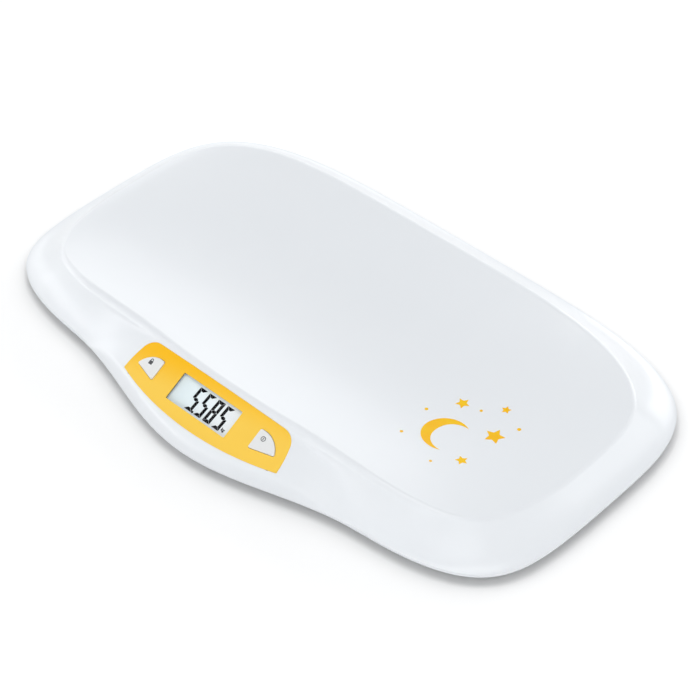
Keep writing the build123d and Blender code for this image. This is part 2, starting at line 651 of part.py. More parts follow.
def make_door():
    """Battery door: tabs at the back, a springy latch at the front, grip ridges outside."""
    plate = box(-DOOR_X, DOOR_X, BATTERY_Y - DOOR_Y, BATTERY_Y + DOOR_Y, BASE_BOTTOM, DOOR_TOP)
    plate = fillet(plate.edges().filter_by(Axis.Z), 2.0)
    top = TAB_Z + TAB_THICK
    back = HINGE_Y - DOOR_GAP
    for side in (-1, 1):
        x0 = side * TAB_X - TAB_W / 2
        x1 = side * TAB_X + TAB_W / 2
        plate += box(x0, x1, back - 2.4, back, DOOR_TOP, top)
        plate += box(x0, x1, back - 2.4, HINGE_Y + TAB_REACH, TAB_Z, top)
    front = BATTERY_Y - DOOR_Y
    plate += box(-LATCH_W / 2, LATCH_W / 2, front + 0.6, front + 1.8, DOOR_TOP, 10.4)
    plate += box(-LATCH_W / 2, LATCH_W / 2, front - 0.9, front + 0.6, 9.2, 10.4)
    for i in range(4):
        y = front + 4.0 + 2.4 * i
        plate -= box(-7, 7, y, y + 1.2, BASE_BOTTOM, BASE_BOTTOM + 0.5)
    return plate


# ---------------------------------------------------------------- feet
def make_pad(x, y):
    pad = rod(x, y, 0, PAD_THICK, PAD_D)
    return chamfer(pad.edges().filter_by(GeomType.CIRCLE).sort_by(Axis.Z)[0], 0.5)


def make_cup(x, y):
    top = CUP_SEAT + CUP_FLANGE
    floor = PAD_THICK + 2.0
    cup = rod(x, y, PAD_THICK - PAD_SUNK, CUP_SEAT, CUP_D) + rod(x, y, CUP_SEAT, top, CUP_FLANGE_D)
    cup = chamfer(cup.edges().filter_by(GeomType.CIRCLE).sort_by(Axis.Z)[0], 0.6)
    cup -= rod(x, y, 0, PAD_THICK, PAD_D + 0.2)
    cup -= rod(x, y, floor, top, CUP_D - 2 * CUP_WALL)
    cup += rod(x, y, floor - 0.5, CELL_Z, FOOT_BOSS_D)
    web = CUP_D / 2 - CUP_WALL / 2
    cup += box(x - web, x + web, y - 0.7, y + 0.7, floor - 0.5, CUP_SEAT - 0.5)
    return cup + box(x - 0.7, x + 0.7, y - web, y + web, floor - 0.5, CUP_SEAT - 0.5)


def make_load_cell(x, y):
    """A stamped steel square with a tongue left free on three sides."""
    plate = Pos(x, y, CELL_Z) * extrude(RectangleRounded(CELL_SIZE, CELL_SIZE, 2.0), CELL_THICK)
    reach = TONGUE_W / 2 + CELL_SLOT
    slot = box(x - reach, x + reach, y - 11, y + 11, 0, FAR)
    return plate - (slot - box(x - TONGUE_W / 2, x + TONGUE_W / 2, y - 11, y + 9, 0, FAR))


def make_clamp(x, y):
    """A plate that holds the load cell down on its posts, open over the tongue."""
    side = 1 if x < 0 else -1
    sheet = RectangleRounded(2 * POST_OUT, 2 * POST_OUT, 3.0) - Rectangle(CLAMP_WINDOW, CLAMP_WINDOW)
    plate = Pos(x, y, CELL_TOP) * extrude(sheet, CLAMP_THICK)
    way_out = sorted((x, x + side * (POST_OUT + 1)))
    plate -= box(*way_out, y - 2, y + 2, 0, FAR)
    for sx, sy in clamp_screw_places(x, y):
        plate -= rod(sx, sy, 0, FAR, SMALL_SHANK_D + 2 * HOLE_GAP)
    return plate


def make_gauge(x, y):
    length, width, height = GAUGE
    return box(x - length / 2, x + length / 2, y - width / 2, y + width / 2, CELL_TOP, CELL_TOP + height)


def make_clamp_screws():
    screws = []
    for name, x, y in FEET:
        for sx, sy in clamp_screw_places(x, y):
            screws.append(Pos(sx, sy, CELL_TOP + CLAMP_THICK) * Rot(180, 0, 0) * small_screw())
    return screws


# ---------------------------------------------------------------- batteries
def battery_rows():
    """Middle line of each cell, and the end that its nub points to."""
    return [(BATTERY_Y + (i - 1) * CELL_PITCH, 1 if i % 2 else -1) for i in range(3)]


def make_battery(y, way):
    can = Rot(0, 90, 0) * Cylinder(CELL_D / 2, CELL_LEN)
    can = chamfer(can.edges().filter_by(GeomType.CIRCLE), 0.4)
    nub = Pos(way * (CELL_LEN + NUB_LEN) / 2, 0, 0) * Rot(0, 90, 0) * Cylinder(NUB_D / 2, NUB_LEN)
    return Pos(0, y, BATTERY_Z) * (can + nub)


CONTACT_THICK = 0.5
CONTACT_TOP = BATTERY_Z + 3.6
CONTACT_LOW = BATTERY_Z - 3.6
TAB_LEVEL = CONTACT_LOW + 1.25


def make_contacts():
    """Sprung contact strips: each end has one double strip and one single."""
    strips = []
    rows = battery_rows()
    for end, groups in ((-1, ((0, 1), (2,))), (1, ((0,), (1, 2)))):
        for group in groups:
            ys = [rows[i][0] for i in group]
            wall = end * (BAY_LEN / 2 - 0.3)
            inner = wall - end * CONTACT_THICK
            low_x, high_x = sorted((wall, inner))
            strip = box(low_x, high_x, min(ys) - 3.6, max(ys) + 3.6, CONTACT_LOW, CONTACT_TOP)
            for i in group:
                y, way = rows[i]
                reach = CELL_LEN / 2 + (NUB_LEN if way == end else 0) + 0.3
                front = [(inner, CONTACT_LOW + 0.6), (end * reach, BATTERY_Z - 0.8),
                         (end * reach, BATTERY_Z + 0.8), (inner, CONTACT_TOP - 0.6)]
                back = [(px + end * CONTACT_THICK, pz) for px, pz in reversed(front)]
                blade = Plane.XZ * make_face(Polyline(*front, *back, close=True))
                strip += Pos(0, y + 1.6, 0) * extrude(blade, 3.2)
            if len(group) == 1:
                low_x, high_x = sorted((inner, end * (BAY_LEN / 2 + TAB_LENGTH)))
                y = ys[0]
                strip += box(low_x, high_x, y - 1.5, y + 1.5, TAB_LEVEL - CONTACT_THICK / 2,
                             TAB_LEVEL + CONTACT_THICK / 2)
            strips.append(strip)
    return strips


# ---------------------------------------------------------------- leads
def lead(points, radii):
    path = FilletPolyline(*points, radius=radii)
    section = Plane(origin=path @ 0, z_dir=path % 0) * RegularPolygon(LEAD_D / 2, 6)
    return sweep(section, path=path)


def board_end(x):
    """The last three corners of a lead: floor, below the board, and its lower face."""
    end = PANEL.from_local_coords(Vector(x, LEAD_ENTRY, -PCB_DEPTH - PCB_THICK))
    below = end - PANEL.z_dir * LEAD_STRAIGHT
    return [(x, below.Y, LEAD_Z), (x, below.Y, below.Z), (end.X, end.Y, end.Z)]


def make_cell_leads():
    """From each gauge out through its clamp, over the base floor and up to the board."""
    leads = []
    for name, x, y in FEET:
        side = 1 if x > 0 else -1
        lane = side * (CELL_LANE_FRONT if y < 0 else CELL_LANE_BACK)
        drop = x - side * (POST_OUT + 5)
        top = CELL_TOP + LEAD_GAP + LEAD_D / 2
        points = [(x - side * GAUGE[0] / 2, y, top), (drop, y, top), (drop, y, LEAD_Z), (lane, y, LEAD_Z)]
        radii = [LEAD_SHORT_BEND, LEAD_SHORT_BEND, LEAD_BEND, LEAD_BEND, LEAD_BEND]
        leads.append(lead(points + board_end(lane), radii))
    return leads


def make_battery_leads():
    """From the two end tabs of the battery contacts to the board."""
    leads = []
    for side, y in ((-1, battery_rows()[2][0]), (1, battery_rows()[0][0])):
        x = side * BATTERY_LANE
        step = BATTERY_Y - DOOR_Y - DOOR_GAP
        points = [(side * (BAY_LEN / 2 + TAB_LENGTH), y, TAB_LEVEL), (x, y, TAB_LEVEL),
                  (x, step, TAB_LEVEL), (x, step - 4 * LEAD_BEND, LEAD_Z)]
        radii = [LEAD_SHORT_BEND, LEAD_BEND, LEAD_BEND, LEAD_BEND, LEAD_BEND]
        leads.append(lead(points + board_end(x), radii))
    return leads


def export(shape, name):
    export_step(shape, f"parts/{name}.step")


def main():
    os.makedirs("parts", exist_ok=True)
    export(make_tray(), "top_shell")
    export(make_base(), "base_shell")
    export(make_overlay(), "panel_overlay")
    export(make_window(), "display_window")
    export(make_glass(), "lcd_glass")
    export(make_display_frame(), "lcd_frame")
    export(make_zebra(), "contact_strip")
    export(make_board(), "circuit_board")
    export(make_chip(), "controller_chip")
    export(Compound(children=make_board_screws()), "board_screws")
    for side, name in ((-1, "hold"), (1, "tare")):
        export(make_key(side), f"{name}_button")
        export(make_switch(side), f"{name}_switch")
        export(make_plunger(side), f"{name}_plunger")
    export(make_door(), "battery_door")
    for number, (y, way) in enumerate(battery_rows(), 1):
        export(make_battery(y, way), f"battery_{number}")
    export(Compound(children=make_contacts()), "battery_contacts")
    for name, x, y in FEET:
        export(make_pad(x, y), f"foot_pad_{name}")
        export(make_cup(x, y), f"foot_cup_{name}")
        export(make_load_cell(x, y), f"load_cell_{name}")
        export(make_clamp(x, y), f"cell_clamp_{name}")
        export(make_gauge(x, y), f"strain_gauge_{name}")
    export(Compound(children=make_clamp_screws()), "clamp_screws")
    case = [screw(x, y, CASE_SEAT, CASE_SHANK_D, CASE_LENGTH, CASE_HEAD_D, CASE_HEAD_H)
            for x, y in mirrored(CASE_SCREWS)]
    export(Compound(children=case), "case_screws")
    export(Compound(children=make_cell_leads()), "cell_leads")
    export(Compound(children=make_battery_leads()), "battery_leads")


main()
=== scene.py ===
"""Looks of a digital baby weighing scale: its finishes, the reading on its display,
the marks on its keys, the print on its tray, and the studio it stands in."""

from math import cos, pi, radians, sin

import bmesh
import bpy
from mathutils import Matrix, Vector
from mathutils.bvhtree import BVHTree


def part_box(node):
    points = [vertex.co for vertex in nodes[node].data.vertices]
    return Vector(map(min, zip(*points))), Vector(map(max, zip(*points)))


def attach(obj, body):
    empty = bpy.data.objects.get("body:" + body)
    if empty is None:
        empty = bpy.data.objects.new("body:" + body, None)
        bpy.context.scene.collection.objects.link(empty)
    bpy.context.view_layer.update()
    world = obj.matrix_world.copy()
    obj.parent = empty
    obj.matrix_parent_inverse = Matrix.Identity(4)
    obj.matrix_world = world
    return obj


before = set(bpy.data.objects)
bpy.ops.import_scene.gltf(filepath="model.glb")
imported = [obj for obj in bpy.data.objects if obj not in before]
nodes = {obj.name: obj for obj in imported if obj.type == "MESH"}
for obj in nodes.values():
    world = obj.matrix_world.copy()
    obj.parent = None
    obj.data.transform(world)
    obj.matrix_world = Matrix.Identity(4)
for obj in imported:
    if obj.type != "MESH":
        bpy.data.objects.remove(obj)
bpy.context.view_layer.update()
scene = bpy.context.scene
scene.view_settings.view_transform = "Standard"

MM = 0.001

# ------------------------------------------------------------------ the camera
VIEW_AZIMUTH = radians(43.498)
VIEW_ELEVATION = radians(42.888)
VIEW_ROLL = radians(-0.261)
VIEW_DISTANCE = 1.57
VIEW_TARGET = Vector((0.027934, -0.005679, 0.020))
LENS = 101.68


def make_camera():
    away = Vector((sin(VIEW_AZIMUTH) * cos(VIEW_ELEVATION),
                   -cos(VIEW_AZIMUTH) * cos(VIEW_ELEVATION), sin(VIEW_ELEVATION)))
    right = Vector((cos(VIEW_AZIMUTH), sin(VIEW_AZIMUTH), 0))
    turn = Matrix.Rotation(VIEW_ROLL, 4, away)
    right = turn @ right
    up = away.cross(right)
    camera = bpy.data.objects.new("camera", bpy.data.cameras.new("camera"))
    camera.data.sensor_width = 36
    camera.data.lens = LENS
    camera.data.clip_end = 30
    place = VIEW_TARGET + away * VIEW_DISTANCE
    axes = Matrix((right, up, away)).transposed().to_4x4()
    camera.matrix_world = Matrix.Translation(place) @ axes
    scene.collection.objects.link(camera)
    scene.camera = camera


make_camera()

# ------------------------------------------------- the display panel's own axes
# u runs along the panel, v up its slope and w out of it
PANEL_TILT = radians(29)
PANEL = Matrix.Translation((0, -138.5 * MM, 36.0996 * MM)) @ Matrix.Rotation(PANEL_TILT, 4, "X")
PANEL_OUT = PANEL.to_3x3() @ Vector((0, 0, 1))


# --------------------------------------------------------------- shader helpers
def wire(tree, start, end):
    tree.links.new(start, end)


def add(tree, kind, **values):
    node = tree.nodes.new(kind)
    for name, value in values.items():
        setattr(node, name, value)
    return node


def new_group(name, inputs, outputs):
    """A node group with named sockets: (name, kind, default) in, (name, kind) out."""
    tree = bpy.data.node_groups.new(name, "ShaderNodeTree")
    for title, kind, default in inputs:
        socket = tree.interface.new_socket(title, in_out="INPUT", socket_type="NodeSocket" + kind)
        socket.default_value = default
    for title, kind in outputs:
        tree.interface.new_socket(title, in_out="OUTPUT", socket_type="NodeSocket" + kind)
    return tree, tree.nodes.new("NodeGroupInput").outputs, tree.nodes.new("NodeGroupOutput").inputs


def noise(tree, vector, scale, detail=2.0, rough=0.5):
    node = add(tree, "ShaderNodeTexNoise")
    wire(tree, vector, node.inputs["Vector"])
    if isinstance(scale, (int, float)):
        node.inputs["Scale"].default_value = scale
    else:
        wire(tree, scale, node.inputs["Scale"])
    node.inputs["Detail"].default_value = detail
    node.inputs["Roughness"].default_value = rough
    return node.outputs["Fac"]


def math(tree, operation, a, b=None, clamp=False):
    node = add(tree, "ShaderNodeMath", operation=operation, use_clamp=clamp)
    for socket, value in zip(node.inputs, (a, b)):
        if value is None:
            continue
        if isinstance(value, (int, float)):
            socket.default_value = value
        else:
            wire(tree, value, socket)
    return node.outputs["Value"]


def spread(tree, value, low, high, to_low=0.0, to_high=1.0, smooth=True):
    """Maps low..high of a value to to_low..to_high."""
    node = add(tree, "ShaderNodeMapRange")
    node.interpolation_type = "SMOOTHSTEP" if smooth else "LINEAR"
    wire(tree, value, node.inputs["Value"])
    for title, given in (("From Min", low), ("From Max", high), ("To Min", to_low), ("To Max", to_high)):
        if isinstance(given, (int, float)):
            node.inputs[title].default_value = given
        else:
            wire(tree, given, node.inputs[title])
    return node.outputs["Result"]


def blend_colour(tree, share, a, b, how="MIX"):
    node = add(tree, "ShaderNodeMix", data_type="RGBA", blend_type=how)
    sockets = {s.identifier: s for s in node.inputs}
    pairs = ((sockets["Factor_Float"], share), (sockets["A_Color"], a), (sockets["B_Color"], b))
    for socket, value in pairs:
        if isinstance(value, (int, float)):
            socket.default_value = value
        elif isinstance(value, tuple):
            socket.default_value = value if len(value) == 4 else (*value, 1)
        else:
            wire(tree, value, socket)
    return {s.identifier: s for s in node.outputs}["Result_Color"]


def own_place(tree):
    return add(tree, "ShaderNodeTexCoord").outputs["Object"]


def panel_place(tree):
    """Places in the panel's own directions: X along it, Y up its slope, Z out of it."""
    move = add(tree, "ShaderNodeMapping", vector_type="POINT")
    turned = Matrix.Rotation(-PANEL_TILT, 4, "X") @ PANEL.translation
    move.inputs["Rotation"].default_value = (-PANEL_TILT, 0, 0)
    move.inputs["Location"].default_value = -turned
    wire(tree, own_place(tree), move.inputs["Vector"])
    return move.outputs["Vector"]


# ---------------------------------------------------------- shared node groups
def moulded_group():
    """Moulded plastic: a slow drift of tone, a fine skin and uneven gloss."""
    tree, given, out = new_group("moulded", (
        ("Colour", "Color", (0.8, 0.8, 0.8, 1)), ("Shade", "Color", (0.7, 0.7, 0.7, 1)),
        ("Patch", "Float", 14.0), ("Grain", "Float", 1500.0),
        ("Gloss", "Float", 0.25), ("Dull", "Float", 0.32)),
        (("Colour", "Color"), ("Roughness", "Float"), ("Skin", "Float")))
    place = own_place(tree)
    slow = spread(tree, noise(tree, place, given["Patch"], 2.0), 0.3, 0.7)
    fine = noise(tree, place, given["Grain"], 3.0, 0.6)
    wire(tree, blend_colour(tree, slow, given["Colour"], given["Shade"]), out["Colour"])
    mottle = noise(tree, place, 90.0, 4.0, 0.6)
    wire(tree, spread(tree, mottle, 0.1, 0.9, given["Gloss"], given["Dull"], smooth=False), out["Roughness"])
    wire(tree, fine, out["Skin"])
    return tree


def hairline_group():
    """Faint hair scratches of wiping: thin lines in two crossing directions."""
    tree, given, out = new_group("hairlines", (
        ("Spacing", "Float", 60.0), ("Amount", "Float", 1.0)), (("Mask", "Float"),))
    place = own_place(tree)
    lines = []
    for turn in (0.5, -0.8):
        move = add(tree, "ShaderNodeMapping", vector_type="POINT")
        move.inputs["Rotation"].default_value = (0, 0, turn)
        move.inputs["Scale"].default_value = (1, 26, 1)
        wire(tree, place, move.inputs["Vector"])
        field = noise(tree, move.outputs["Vector"], given["Spacing"], 2.0, 0.55)
        off = math(tree, "ABSOLUTE", math(tree, "SUBTRACT", field, 0.5))
        lines.append(spread(tree, off, 0.0, 0.006, 1.0, 0.0))
    both = math(tree, "MAXIMUM", lines[0], lines[1])
    worn = spread(tree, noise(tree, place, 22.0, 2.0), 0.5, 0.72)
    mask = math(tree, "MULTIPLY", math(tree, "MULTIPLY", both, worn), given["Amount"], clamp=True)
    wire(tree, mask, out["Mask"])
    return tree


def rolled_metal_group():
    """Rolled or drawn metal: fine streaks one way, and a slow change of tone."""
    tree, given, out = new_group("rolled_metal", (
        ("Colour", "Color", (0.6, 0.6, 0.6, 1)), ("Stain", "Color", (0.4, 0.4, 0.4, 1)),
        ("Streaks", "Float", 900.0), ("Gloss", "Float", 0.22), ("Dull", "Float", 0.42)),
        (("Colour", "Color"), ("Roughness", "Float"), ("Streak", "Float")))
    place = own_place(tree)
    move = add(tree, "ShaderNodeMapping", vector_type="POINT")
    move.inputs["Scale"].default_value = (0.06, 1, 1)
    wire(tree, place, move.inputs["Vector"])
    streak = noise(tree, move.outputs["Vector"], given["Streaks"], 3.0, 0.6)
    cloud = spread(tree, noise(tree, place, 160.0, 4.0, 0.6), 0.35, 0.75)
    wire(tree, blend_colour(tree, cloud, given["Colour"], given["Stain"]), out["Colour"])
    wire(tree, spread(tree, streak, 0.1, 0.9, given["Gloss"], given["Dull"], smooth=False), out["Roughness"])
    wire(tree, streak, out["Streak"])
    return tree


def specks_group():
    """Small soft specks, as in rubber, resin or on a bare moulding."""
    tree, given, out = new_group("specks", (
        ("Scale", "Float", 700.0), ("Size", "Float", 0.3)), (("Mask", "Float"),))
    cells = add(tree, "ShaderNodeTexVoronoi")
    wire(tree, own_place(tree), cells.inputs["Vector"])
    wire(tree, given["Scale"], cells.inputs["Scale"])
    wire(tree, spread(tree, cells.outputs["Distance"], 0.0, given["Size"], 1.0, 0.0), out["Mask"])
    return tree


MOULDED = moulded_group()
HAIRLINES = hairline_group()
ROLLED = rolled_metal_group()
SPECKS = specks_group()


def use(tree, group, **values):
    node = add(tree, "ShaderNodeGroup", node_tree=group)
    for title, value in values.items():
        node.inputs[title].default_value = value
    return node.outputs


def finish(name, **constants):
    """A new material: its tree and its shader, with plain values on the shader's sockets."""
    made = bpy.data.materials.new(name)
    made.use_nodes = True
    tree = made.node_tree
    shader = tree.nodes["Principled BSDF"]
    for title, value in constants.items():
        shader.inputs[title.replace("_", " ")].default_value = value
    return made, tree, shader


def raise_skin(tree, shader, height, strength, distance):
    bump = add(tree, "ShaderNodeBump")
    bump.inputs["Strength"].default_value = strength
    bump.inputs["Distance"].default_value = distance
    wire(tree, height, bump.inputs["Height"])
    wire(tree, bump.outputs["Normal"], shader.inputs["Normal"])


# ------------------------------------------------------------------- finishes
def moulded_plastic(name, colour, shade, gloss, dull, grain=1500.0, bite=0.15, lines=0.0, **constants):
    """Injection-moulded plastic; lines is how far wiping marks dull its gloss."""
    made, tree, shader = finish(name, **constants)
    body = use(tree, MOULDED, Colour=(*colour, 1), Shade=(*shade, 1), Grain=grain, Gloss=gloss, Dull=dull)
    wire(tree, body["Colour"], shader.inputs["Base Color"])
    if lines:
        marks = use(tree, HAIRLINES, Amount=1.0)["Mask"]
        rougher = math(tree, "ADD", body["Roughness"], math(tree, "MULTIPLY", marks, lines), clamp=True)
        wire(tree, rougher, shader.inputs["Roughness"])
    else:
        wire(tree, body["Roughness"], shader.inputs["Roughness"])
    raise_skin(tree, shader, body["Skin"], bite, 0.02 * MM)
    return made


OPENINGS_HALF_W = 77 * MM
OPENINGS_HALF_H = 13 * MM
OPENINGS_EDGE = 0.5 * MM
FILM_UNDERSIDE = -0.9 * MM
# near-black shade painted on the opening walls, standing in for the shadow in the recesses
OPENING_PAINTED_SHADE = (0.05, 0.052, 0.055)


def paint_shade_on_openings(made):
    """Paints shade on the walls of the window and key openings, below the panel film: a dark line that
    stands in for the shadow in these recesses.
    """
    tree = made.node_tree
    shader = tree.nodes["Principled BSDF"]
    place = add(tree, "ShaderNodeSeparateXYZ")
    wire(tree, panel_place(tree), place.inputs["Vector"])
    beside = spread(tree, math(tree, "ABSOLUTE", place.outputs["X"]),
                    OPENINGS_HALF_W, OPENINGS_HALF_W + OPENINGS_EDGE, 1.0, 0.0)
    within = spread(tree, math(tree, "ABSOLUTE", place.outputs["Y"]),
                    OPENINGS_HALF_H, OPENINGS_HALF_H + OPENINGS_EDGE, 1.0, 0.0)
    below = spread(tree, place.outputs["Z"], FILM_UNDERSIDE - 0.1 * MM, FILM_UNDERSIDE, 1.0, 0.0)
    # mask of the painted shade: the opening walls, below the film
    mask = math(tree, "MULTIPLY", math(tree, "MULTIPLY", beside, within), below)
    tone = shader.inputs["Base Color"].links[0].from_socket
    wire(tree, blend_colour(tree, mask, tone, OPENING_PAINTED_SHADE), shader.inputs["Base Color"])
    return made


def overlay_film():
    """The printed panel film: amber along its upper edge, lighter orange in front, where the lighter tone is
    a painted reflection; it also glows faintly in its own tone, which is painted light.
    """
    made, tree, shader = finish("overlay_film", Specular_IOR_Level=0.25, Emission_Strength=0.035)
    place = add(tree, "ShaderNodeSeparateXYZ")
    wire(tree, panel_place(tree), place.inputs["Vector"])
    along = math(tree, "MULTIPLY", place.outputs["X"], 0.16)
    slope = math(tree, "SUBTRACT", place.outputs["Y"], along)
    share = spread(tree, slope, -4 * MM, 27 * MM)
    # painted reflection: over the amber print, the film turns lighter and paler towards its front, standing
    # in for the white room mirrored there
    film_tone_with_painted_sheen_and_glow = blend_colour(tree, share, (1.0, 0.64, 0.083), (1.0, 0.53, 0.0))
    flecks = use(tree, SPECKS, Scale=1800.0, Size=0.5)["Mask"]
    film_tone_with_painted_sheen_and_glow = blend_colour(tree, math(tree, "MULTIPLY", flecks, 0.03), film_tone_with_painted_sheen_and_glow, (0.8, 0.36, 0.0))
    wire(tree, film_tone_with_painted_sheen_and_glow, shader.inputs["Base Color"])
    # painted light: the film glows faintly in its own tone, Emission Strength 0.035 set above, though it is
    # no lamp
    wire(tree, film_tone_with_painted_sheen_and_glow, shader.inputs["Emission Color"])
    body = use(tree, MOULDED, Grain=2600.0, Gloss=0.3, Dull=0.36)
    marks = use(tree, HAIRLINES, Amount=1.0)["Mask"]
    rougher = math(tree, "ADD", body["Roughness"], math(tree, "MULTIPLY", marks, 0.1))
    wire(tree, rougher, shader.inputs["Roughness"])
    raise_skin(tree, shader, body["Skin"], 0.2, 0.015 * MM)
    return made


def clear_window():
    """The clear display window, which lets lamp light through to the glass below."""
    made, tree, shader = finish("clear_window", Transmission_Weight=1.0, IOR=1.12)
    shader.inputs["Base Color"].default_value = (0.99, 0.995, 1.0, 1)
    marks = use(tree, HAIRLINES, Spacing=110.0, Amount=1.0)["Mask"]
    wire(tree, math(tree, "ADD", math(tree, "MULTIPLY", marks, 0.03), 0.004), shader.inputs["Roughness"])
    rays = add(tree, "ShaderNodeLightPath")
    open_air = add(tree, "ShaderNodeBsdfTransparent")
    open_air.inputs["Color"].default_value = (0.98, 0.985, 0.99, 1)
    mix = add(tree, "ShaderNodeMixShader")
    blocked = math(tree, "MAXIMUM", rays.outputs["Is Shadow Ray"], rays.outputs["Is Diffuse Ray"])
    wire(tree, blocked, mix.inputs["Fac"])
    wire(tree, shader.outputs["BSDF"], mix.inputs[1])
    wire(tree, open_air.outputs["BSDF"], mix.inputs[2])
    wire(tree, mix.outputs["Shader"], tree.nodes["Material Output"].inputs["Surface"])
    return made


def display_glass():
    """The liquid crystal cell: pale blue-grey, a little bluer at its left end, with a faint painted glow."""
    made, tree, shader = finish("display_glass", Specular_IOR_Level=0.25, Emission_Strength=0.07)
    place = add(tree, "ShaderNodeSeparateXYZ")
    wire(tree, panel_place(tree), place.inputs["Vector"])
    share = spread(tree, place.outputs["X"], -32 * MM, 30 * MM)
    tone = blend_colour(tree, share, (0.82, 0.925, 0.955), (0.885, 0.925, 0.94))
    # the cell's electrodes are a very faint grid of squares
    cells = add(tree, "ShaderNodeTexBrick")
    cells.offset = 0.0
    cells.inputs["Scale"].default_value = 1.0
    cells.inputs["Brick Width"].default_value = 2.2 * MM
    cells.inputs["Row Height"].default_value = 2.2 * MM
    cells.inputs["Mortar Size"].default_value = 0.05 * MM
    cells.inputs["Mortar Smooth"].default_value = 0.2
    wire(tree, panel_place(tree), cells.inputs["Vector"])
    tone = blend_colour(tree, math(tree, "MULTIPLY", cells.outputs["Fac"], 0.02), tone, (0.5, 0.56, 0.6))
    body = use(tree, MOULDED, Grain=900.0, Gloss=0.22, Dull=0.3)
    wire(tree, tone, shader.inputs["Base Color"])
    # painted light: the cell glows faintly in its own tone, Emission Strength 0.07 set above, to stay light
    # in its shaded well; it has no backlight
    wire(tree, tone, shader.inputs["Emission Color"])
    wire(tree, body["Roughness"], shader.inputs["Roughness"])
    raise_skin(tree, shader, body["Skin"], 0.05, 0.01 * MM)
    return made


def display_ink():
    made, tree, shader = finish("display_ink", Specular_IOR_Level=0.05)
    flecks = use(tree, SPECKS, Scale=2600.0, Size=0.4)["Mask"]
    tone = blend_colour(tree, flecks, (0.002, 0.002, 0.003), (0.006, 0.006, 0.008))
    wire(tree, tone, shader.inputs["Base Color"])
    wire(tree, spread(tree, flecks, 0.0, 1.0, 0.5, 0.62), shader.inputs["Roughness"])
    return made


def key_ink():
    """Grey pad print on the keys, slightly broken along its grain."""
    made, tree, shader = finish("key_ink")
    grain = noise(tree, own_place(tree), 2600.0, 3.0, 0.6)
    thin = spread(tree, grain, 0.4, 0.7)
    tone = blend_colour(tree, thin, (0.025, 0.028, 0.032), (0.07, 0.074, 0.078))
    wire(tree, tone, shader.inputs["Base Color"])
    wire(tree, spread(tree, grain, 0.3, 0.7, 0.42, 0.55), shader.inputs["Roughness"])
    raise_skin(tree, shader, grain, 0.1, 0.01 * MM)
    return made


def tray_ink():
    """Screen-printed yellow on the tray, thicker and deeper in slow patches."""
    made, tree, shader = finish("tray_ink", Specular_IOR_Level=0.25)
    patches = spread(tree, noise(tree, own_place(tree), 45.0, 3.0), 0.35, 0.7)
    tone = blend_colour(tree, patches, (0.99, 0.60, 0.006), (0.99, 0.53, 0.002))
    mesh_grain = noise(tree, own_place(tree), 1900.0, 2.0)
    tone = blend_colour(tree, spread(tree, mesh_grain, 0.55, 0.8, 0.0, 0.1), tone, (0.99, 0.68, 0.06))
    wire(tree, tone, shader.inputs["Base Color"])
    wire(tree, spread(tree, mesh_grain, 0.3, 0.7, 0.3, 0.4), shader.inputs["Roughness"])
    raise_skin(tree, shader, mesh_grain, 0.12, 0.01 * MM)
    return made


def circuit_board_green():
    """Solder mask over glass cloth, with tracks that show a lighter green."""
    made, tree, shader = finish("circuit_board_green", Coat_Weight=0.5, Coat_Roughness=0.15)
    place = panel_place(tree)
    tracks = add(tree, "ShaderNodeTexBrick")
    tracks.offset = 0.37
    tracks.inputs["Scale"].default_value = 1.0
    tracks.inputs["Brick Width"].default_value = 11 * MM
    tracks.inputs["Row Height"].default_value = 1.6 * MM
    tracks.inputs["Mortar Size"].default_value = 0.22 * MM
    wire(tree, place, tracks.inputs["Vector"])
    tone = blend_colour(tree, tracks.outputs["Fac"], (0.012, 0.12, 0.035), (0.03, 0.24, 0.07))
    cloth = add(tree, "ShaderNodeTexChecker")
    cloth.inputs["Scale"].default_value = 1500.0
    wire(tree, place, cloth.inputs["Vector"])
    tone = blend_colour(tree, math(tree, "MULTIPLY", cloth.outputs["Fac"], 0.12), tone, (0.05, 0.2, 0.08))
    wire(tree, tone, shader.inputs["Base Color"])
    wire(tree, spread(tree, tracks.outputs["Fac"], 0.0, 1.0, 0.34, 0.24), shader.inputs["Roughness"])
    raise_skin(tree, shader, tracks.outputs["Fac"], 0.4, 0.03 * MM)
    return made


def rubber(name, colour, pale, scale):
    made, tree, shader = finish(name)
    flecks = use(tree, SPECKS, Scale=scale, Size=0.35)["Mask"]
    body = use(tree, MOULDED, Colour=(*colour, 1), Shade=(*[c * 0.85 for c in colour], 1), Grain=1100.0,
               Patch=70.0, Gloss=0.62, Dull=0.78)
    tone = blend_colour(tree, math(tree, "MULTIPLY", flecks, 0.35), body["Colour"], pale)
    wire(tree, tone, shader.inputs["Base Color"])
    wire(tree, body["Roughness"], shader.inputs["Roughness"])
    raise_skin(tree, shader, body["Skin"], 0.5, 0.05 * MM)
    return made


def striped_rubber():
    """Zebra strip: thin black carbon layers in pale silicone, across its length."""
    made, tree, shader = finish("striped_rubber")
    place = add(tree, "ShaderNodeSeparateXYZ")
    wire(tree, own_place(tree), place.inputs["Vector"])
    wave = math(tree, "SINE", math(tree, "MULTIPLY", place.outputs["X"], 2 * pi / (0.5 * MM)))
    stripe = spread(tree, wave, -0.2, 0.2)
    tone = blend_colour(tree, stripe, (0.02, 0.02, 0.022), (0.62, 0.5, 0.45))
    wire(tree, tone, shader.inputs["Base Color"])
    body = use(tree, MOULDED, Grain=1500.0, Gloss=0.55, Dull=0.7)
    wire(tree, body["Roughness"], shader.inputs["Roughness"])
    raise_skin(tree, shader, body["Skin"], 0.3, 0.03 * MM)
    return made


def metal(name, colour, stain, gloss, dull, streaks=900.0, bite=0.25):
    made, tree, shader = finish(name, Metallic=1.0)
    body = use(tree, ROLLED, Colour=(*colour, 1), Stain=(*stain, 1), Streaks=streaks, Gloss=gloss, Dull=dull)
    wire(tree, body["Colour"], shader.inputs["Base Color"])
    wire(tree, body["Roughness"], shader.inputs["Roughness"])
    raise_skin(tree, shader, body["Streak"], bite, 0.02 * MM)
    return made


